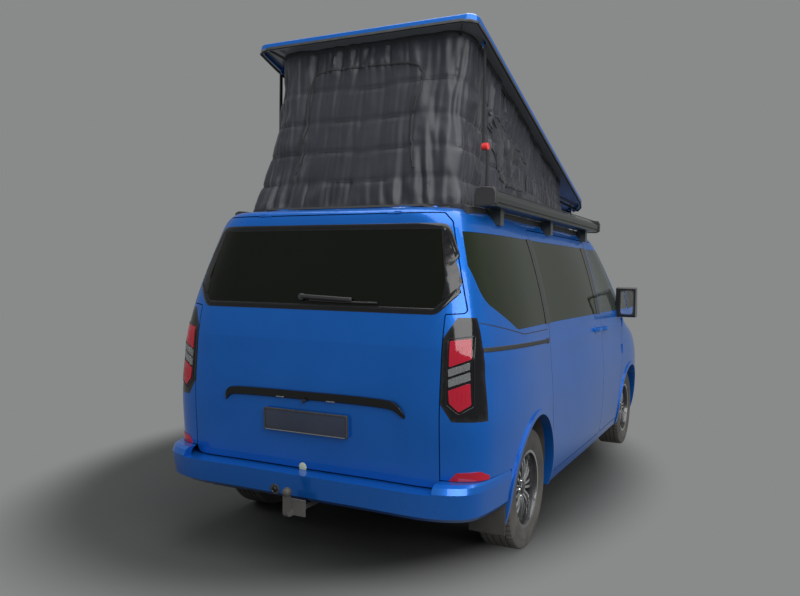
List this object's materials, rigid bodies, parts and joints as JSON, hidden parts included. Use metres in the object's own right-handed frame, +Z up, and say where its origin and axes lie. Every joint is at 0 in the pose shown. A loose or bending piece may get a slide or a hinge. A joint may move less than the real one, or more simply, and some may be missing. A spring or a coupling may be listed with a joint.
{
  "type": "camper van",
  "caption": "Mid-size camper van with open pop-up sleeping roof and fabric tent, folded awning, tow bar, rear tailgate, sliding side door and fitted living space.",
  "frame": {"origin": "on the ground, at the bottom centre of the whole van's bounding box", "axes": "+Z up, +Y to the rear, -Y is the way the nose points, +X the van's left side"},
  "size_m": [2.274, 5.1506, 3.0214],
  "materials": {
    "body_blue": "metallic, clear coated",
    "black_gloss": "gloss",
    "dark_glass": "dark tinted",
    "clear_glass": "light tint",
    "lamp_red": "clear over red",
    "lamp_clear": "clear",
    "black_plastic": "grained",
    "anthracite": "powder coated, satin",
    "shell_grey": "satin",
    "underbody": "satin",
    "cast_grey": "machined and cast",
    "exhaust_steel": "dull",
    "tent": "woven, charcoal",
    "tyre_rubber": "matte",
    "alloy": "machined and dark lacquer",
    "seat_fabric": "woven",
    "cabinet": "laminated, satin"
  },
  "bodies": {
    "van": {"windscreen": "clear_glass", "roof_panel": "body_blue", "body_side_left": "body_blue", "body_side_right": "body_blue", "sliding_door": "body_blue", "side_glass": "dark_glass", "tail_lamps": "lamp_red", "headlamps": "lamp_clear", "grille": "black_plastic", "front_bumper": "body_blue", "rear_bumper": "body_blue", "floor_pan": "underbody", "bulkhead": "underbody", "wheel_liners": "black_plastic", "front_subframe": "underbody", "rear_axle": "underbody", "engine_block": "cast_grey", "exhaust": "exhaust_steel", "tow_bar": "underbody", "tent_fabric": "tent", "awning": "anthracite", "roof_rails": "black_plastic", "dashboard": "black_plastic", "front_seats": "seat_fabric", "rear_bench": "seat_fabric", "kitchen_unit": "cabinet"},
    "front_door_left": {"front_door_left": "body_blue", "front_door_glass_left": "clear_glass", "mirror_left": "black_gloss"},
    "front_door_right": {"front_door_right": "body_blue", "front_door_glass_right": "clear_glass", "mirror_right": "black_gloss"},
    "bonnet": {"bonnet": "body_blue"},
    "tailgate": {"tailgate": "body_blue", "tailgate_glass": "dark_glass"},
    "pop_roof": {"pop_roof": "shell_grey"},
    "roof_arms": {"roof_arms": "underbody"},
    "stay_lower": {"stay_lower": "black_plastic"},
    "stay_upper": {"stay_upper": "black_plastic"},
    "knuckle_left": {"knuckle_left": "cast_grey"},
    "knuckle_right": {"knuckle_right": "cast_grey"},
    "wheel_front_left": {"tyre_front_left": "tyre_rubber", "rim_front_left": "alloy"},
    "wheel_front_right": {"tyre_front_right": "tyre_rubber", "rim_front_right": "alloy"},
    "wheel_rear_left": {"tyre_rear_left": "tyre_rubber", "rim_rear_left": "alloy"},
    "wheel_rear_right": {"tyre_rear_right": "tyre_rubber", "rim_rear_right": "alloy"}
  },
  "joints": [
    {"name": "roof_arm_hinge", "type": "hinge", "parent": "van", "child": "roof_arms", "pos_m": [0, -0.916, 1.96], "axis": [1, 0, 0], "range_deg": [-46.37, 0], "deforming": ["tent_fabric"]},
    {"name": "pop_roof_hinge", "type": "hinge", "parent": "roof_arms", "child": "pop_roof", "pos_m": [0, -0.76147, 2.1641], "axis": [1, 0, 0], "range_deg": [0, 29.27]},
    {"name": "stay_foot_hinge", "type": "hinge", "parent": "van", "child": "stay_lower", "pos_m": [0, 1.655, 1.957], "axis": [1, 0, 0], "range_deg": [0, 90.1]},
    {"name": "stay_top_hinge", "type": "hinge", "parent": "pop_roof", "child": "stay_upper", "pos_m": [0, 1.655, 2.88449], "axis": [1, 0, 0], "range_deg": [-71.9, 0]},
    {"name": "tailgate_hinge", "type": "hinge", "parent": "van", "child": "tailgate", "pos_m": [0, 2.19588, 1.903], "axis": [1, 0, 0], "range_deg": [0, 85]},
    {"name": "bonnet_hinge", "type": "hinge", "parent": "van", "child": "bonnet", "pos_m": [0, -1.902, 1.17284], "axis": [-1, 0, 0], "range_deg": [0, 50]},
    {"name": "front_door_left_hinge", "type": "hinge", "parent": "van", "child": "front_door_left", "pos_m": [1.0032, -1.218, 0.9], "axis": [0.0349, 0, -0.9994], "range_deg": [0, 65]},
    {"name": "front_door_right_hinge", "type": "hinge", "parent": "van", "child": "front_door_right", "pos_m": [-1.0032, -1.218, 0.9], "axis": [0.0349, 0, 0.9994], "range_deg": [0, 65]},
    {"name": "steering_left", "type": "hinge", "parent": "van", "child": "knuckle_left", "pos_m": [0.765, -1.595, 0.345], "axis": [0, 0, 1], "range_deg": [-31, 31]},
    {"name": "steering_right", "type": "hinge", "parent": "van", "child": "knuckle_right", "pos_m": [-0.765, -1.595, 0.345], "axis": [0, 0, 1], "range_deg": [-31, 31]},
    {"name": "wheel_front_left_spin", "type": "hinge", "parent": "knuckle_left", "child": "wheel_front_left", "pos_m": [0.865, -1.595, 0.345], "axis": [1, 0, 0], "continuous": true},
    {"name": "wheel_front_right_spin", "type": "hinge", "parent": "knuckle_right", "child": "wheel_front_right", "pos_m": [-0.865, -1.595, 0.345], "axis": [1, 0, 0], "continuous": true},
    {"name": "wheel_rear_left_spin", "type": "hinge", "parent": "van", "child": "wheel_rear_left", "pos_m": [0.865, 1.505, 0.345], "axis": [1, 0, 0], "continuous": true},
    {"name": "wheel_rear_right_spin", "type": "hinge", "parent": "van", "child": "wheel_rear_right", "pos_m": [-0.865, 1.505, 0.345], "axis": [1, 0, 0], "continuous": true}
  ],
  "couplings": [
    {"joint": "pop_roof_hinge", "follows": "roof_arm_hinge", "ratio": -0.6312},
    {"joint": "stay_foot_hinge", "follows": "roof_arm_hinge", "ratio": -1.9409},
    {"joint": "stay_top_hinge", "follows": "roof_arm_hinge", "ratio": 1.5503},
    {"joint": "steering_right", "follows": "steering_left", "ratio": 1}
  ]
}
